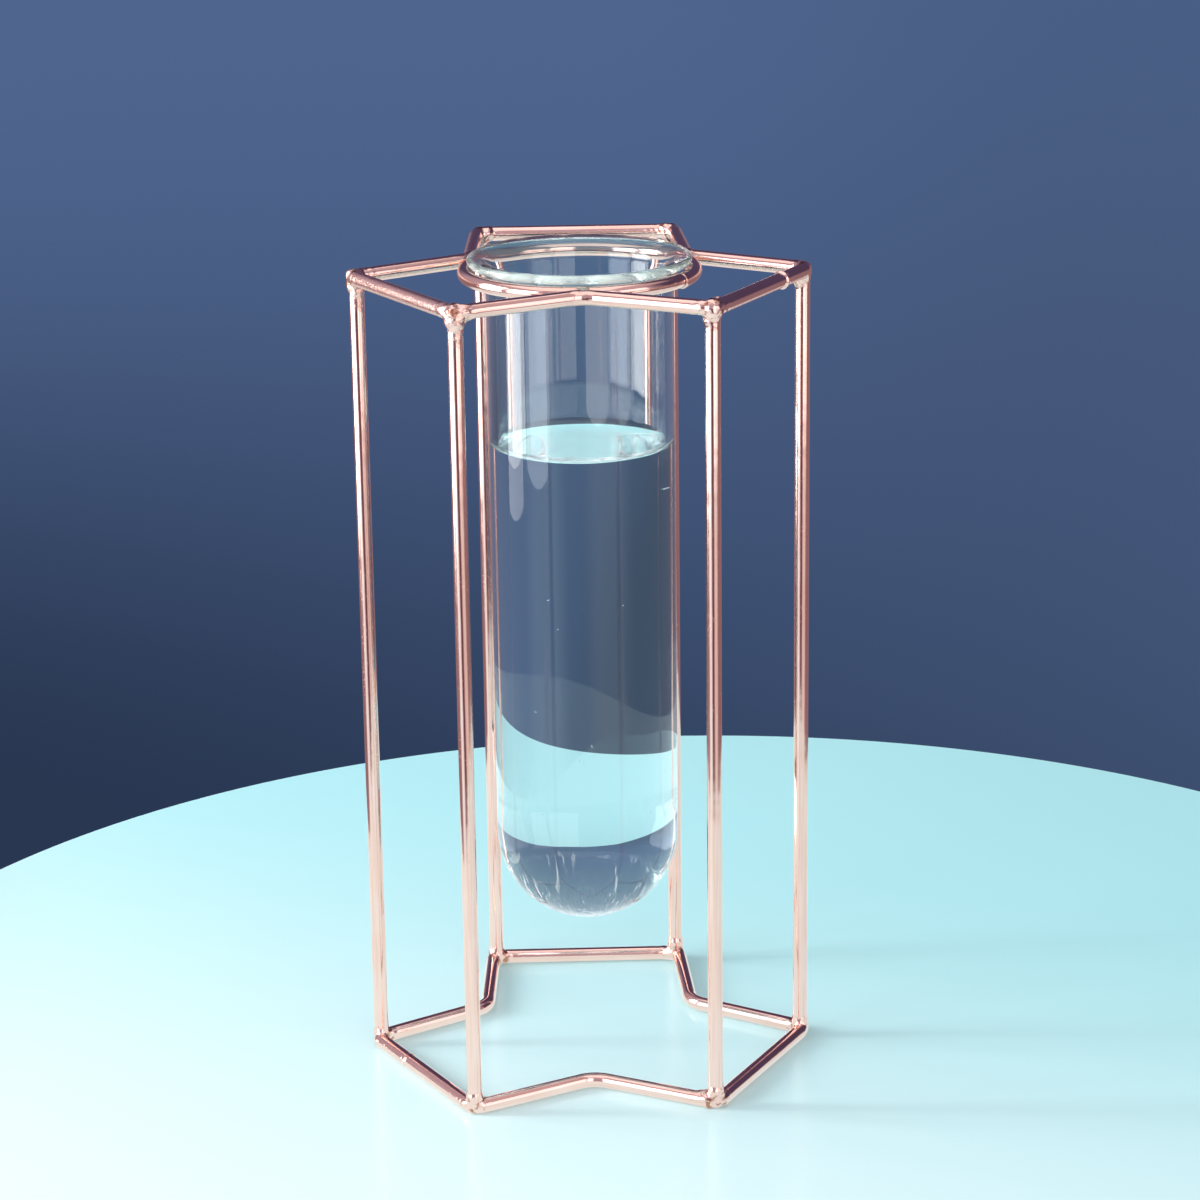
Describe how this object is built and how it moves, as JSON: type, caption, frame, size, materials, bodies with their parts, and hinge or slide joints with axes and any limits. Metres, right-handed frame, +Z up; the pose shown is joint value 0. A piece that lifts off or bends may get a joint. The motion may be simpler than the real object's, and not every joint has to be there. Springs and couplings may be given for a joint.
{
  "type": "hydroponic vase",
  "caption": "Glass test tube with a flared lip hanging in the ring of an open, star-shaped stand of bent and welded wire.",
  "frame": {"origin": "on the table, under the centre of the stand's footprint; the tube's axis is 1.7 mm in front of it, at y = -1.7 mm", "axes": "+Z up along the tube; +Y towards the arm at the back, so that two arms and a notch face -Y"},
  "size_m": [0.0992, 0.0866, 0.1792],
  "materials": {
    "plated_wire": "bright rose-gold plating on steel wire",
    "clear_glass": "clear, fire-polished lip"
  },
  "bodies": {
    "stand": {"lower_loop": "plated_wire", "upper_loop": "plated_wire", "holder_ring": "plated_wire", "upright_back_right": "plated_wire", "upright_back_left": "plated_wire", "upright_left_back": "plated_wire", "upright_left_front": "plated_wire", "upright_right_front": "plated_wire", "upright_right_back": "plated_wire"},
    "tube": {"glass_tube": "clear_glass"}
  },
  "joints": [
    {"name": "tube_lift", "type": "slide", "parent": "stand", "child": "tube", "axis": [0, 0, 1], "range_m": [0, 0.15]}
  ]
}
